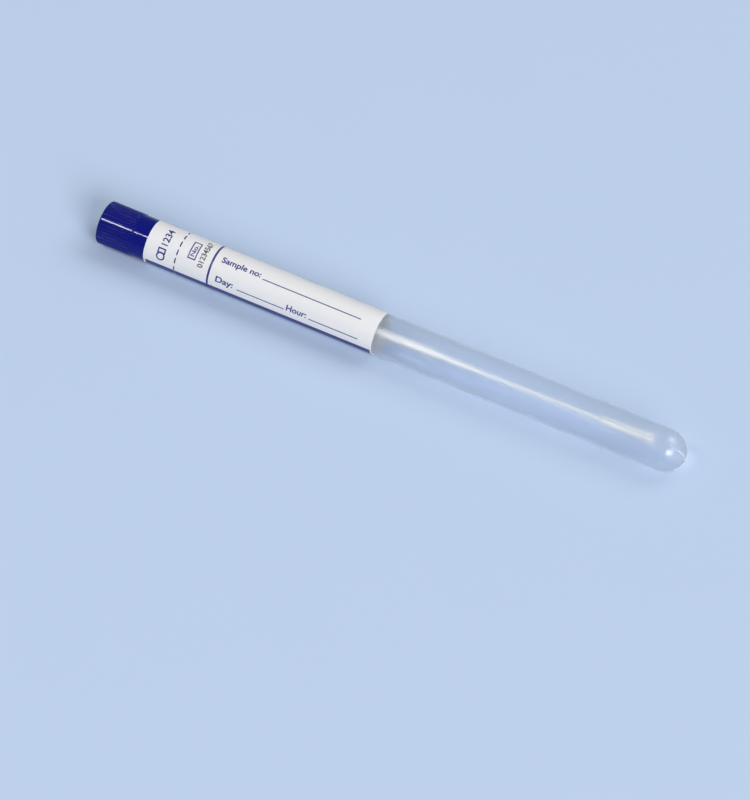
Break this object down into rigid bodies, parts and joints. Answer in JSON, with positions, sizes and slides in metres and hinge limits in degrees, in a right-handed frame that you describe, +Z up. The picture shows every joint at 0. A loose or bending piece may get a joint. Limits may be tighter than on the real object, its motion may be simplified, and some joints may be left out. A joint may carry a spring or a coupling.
{
  "type": "specimen swab tube",
  "caption": "Round-bottomed clear plastic transport tube with a ribbed push-in cap that carries a flocked swab, sealed by a wrap label with a tear line.",
  "frame": {"origin": "on the surface the tube lies on, under the middle of its box", "axes": "+X along the tube from the cap to the round bottom, +Z up, the label's free edge on the -Y side"},
  "size_m": [0.179, 0.0124, 0.0124],
  "materials": {
    "tube_plastic": "natural polypropylene, milky and see-through, smooth",
    "cap_plastic": "dark navy moulded plastic with a soft gloss",
    "label_paper": "matt white coated label paper, printed in navy",
    "swab_plastic": "off-white moulded plastic, fine satin",
    "swab_flock": "short white nylon fibres stood on end"
  },
  "bodies": {
    "tube": {"tube": "tube_plastic", "label_panel": "label_paper"},
    "cap": {"cap": "cap_plastic", "label_seal_strip": "label_paper", "swab_shaft": "swab_plastic", "flock_tip": "swab_flock"}
  },
  "joints": [
    {"name": "cap_pull", "type": "slide", "parent": "tube", "child": "cap", "axis": [-1, 0, 0], "range_m": [0, 0.155]}
  ]
}
